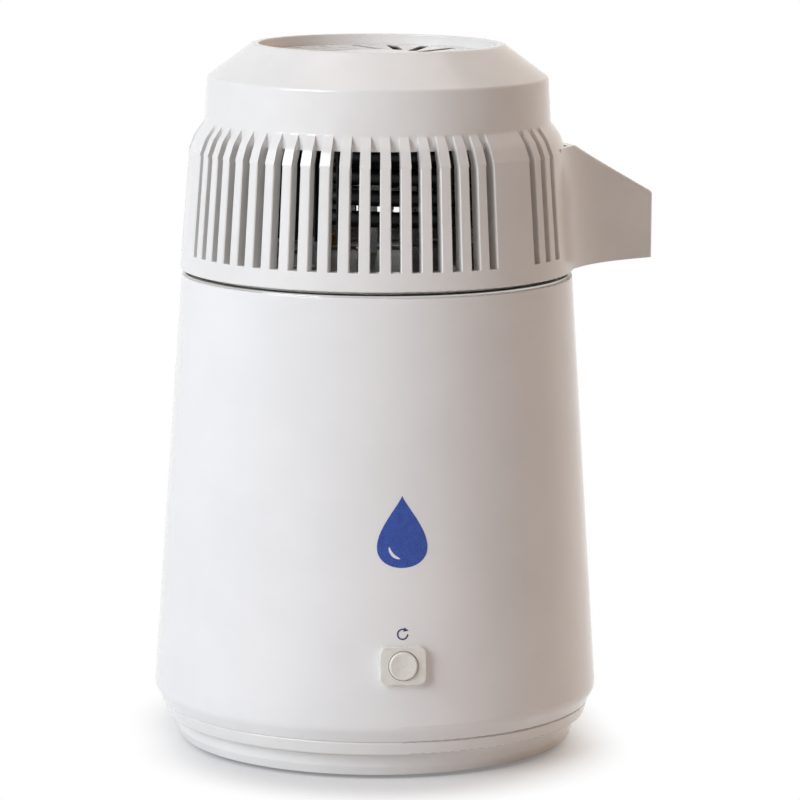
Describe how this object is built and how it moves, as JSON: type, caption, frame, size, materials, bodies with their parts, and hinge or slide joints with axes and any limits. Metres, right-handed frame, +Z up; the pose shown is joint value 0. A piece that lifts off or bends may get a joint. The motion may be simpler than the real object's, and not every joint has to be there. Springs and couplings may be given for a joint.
{
  "type": "water distiller",
  "caption": "Countertop air-cooled water distiller: white tapered boiler base, lift-off head with a ring of vertical vents, fan grille, wedge spout and front reset button.",
  "frame": {"origin": "on the worktop under the axis of the tapered body, in the plane of the rubber feet", "axes": "+Z up along the body's axis, -Y is the front with the reset button, +X to the right of it; the spout points 15 degrees behind +X"},
  "size_m": [0.2608, 0.2348, 0.36],
  "materials": {
    "white_abs": "glossy injection-moulded white ABS",
    "white_enamel": "glossy white stove enamel on sheet steel",
    "cream_plastic": "moulded cream plastic, satin gloss",
    "button_plastic": "moulded plastic, satin gloss",
    "feet_rubber": "matte moulded rubber",
    "silicone": "translucent white silicone",
    "stainless": "deep-drawn stainless sheet",
    "zinc_steel": "bright zinc-plated steel",
    "cast_aluminium": "cast and faced aluminium",
    "fin_lacquer": "black heat-proof lacquer on aluminium",
    "element_sheath": "dark annealed steel sheath",
    "brass": "bright turned brass",
    "black_thermoplastic": "matt moulded black plastic",
    "block_nylon": "moulded natural nylon",
    "lamination_steel": "stacked lamination steel, varnished",
    "winding_tape": "varnished copper winding under tape",
    "grey_nylon": "moulded glass-filled nylon",
    "cup_porcelain": "white glazed cup",
    "sachet_paper": "non-woven filter paper bag of carbon"
  },
  "bodies": {
    "base": {"base_pan": "white_abs", "rubber_feet": "feet_rubber", "foot_screws": "zinc_steel", "trim_ring": "white_abs", "outer_shell": "white_enamel", "boiling_tank": "stainless", "heater_plate": "cast_aluminium", "heater_element": "element_sheath", "heater_terminals": "brass", "boil_dry_thermostat": "black_thermoplastic", "safety_thermostat": "black_thermoplastic", "thermostat_blades": "brass", "thermostat_strap": "zinc_steel", "tie_rods": "zinc_steel", "tie_nuts": "zinc_steel", "heat_shield": "zinc_steel", "terminal_block": "block_nylon", "terminal_screws": "brass", "reset_bezel": "cream_plastic", "reset_spring": "zinc_steel", "reset_switch": "black_thermoplastic", "reset_terminals": "brass", "power_inlet": "black_thermoplastic", "inlet_pins": "brass", "inlet_screws": "zinc_steel", "fan_socket": "black_thermoplastic", "socket_sleeves": "brass"},
    "head": {"hood": "white_abs", "lead_grommet": "feet_rubber", "top_grille": "white_abs", "lid_plate": "stainless", "lid_screws": "zinc_steel", "lid_gasket": "silicone", "condenser_coil": "stainless", "steam_tube": "stainless", "condensate_tube": "stainless", "tube_fittings": "brass", "condenser_fins": "fin_lacquer", "motor_bracket": "zinc_steel", "bracket_studs": "zinc_steel", "bracket_nuts": "zinc_steel", "stator_core": "lamination_steel", "stator_winding": "winding_tape", "motor_bridges": "zinc_steel", "motor_screws": "zinc_steel", "motor_nuts": "zinc_steel"},
    "fan": {"fan_shaft": "zinc_steel", "motor_rotor": "cast_aluminium", "fan_impeller": "grey_nylon", "impeller_nut": "zinc_steel"},
    "cup": {"filter_cup": "cup_porcelain", "carbon_sachet": "sachet_paper"},
    "button": {"reset_button": "button_plastic"}
  },
  "joints": [
    {"name": "head_lift", "type": "slide", "parent": "base", "child": "head", "axis": [0, 0, 1], "range_m": [0, 0.12]},
    {"name": "fan_spin", "type": "hinge", "parent": "head", "child": "fan", "pos_m": [0, 0, 0.333], "axis": [0, 0, 1], "continuous": true},
    {"name": "cup_pull", "type": "slide", "parent": "head", "child": "cup", "axis": [0, 0, -1], "range_m": [0, 0.03]},
    {"name": "button_press", "type": "slide", "parent": "base", "child": "button", "axis": [0, 0.9978, -0.0666], "range_m": [0, 0.002], "stiffness_N_per_m": 400, "springref_m": -0.002, "deforming": ["reset_spring"]}
  ]
}
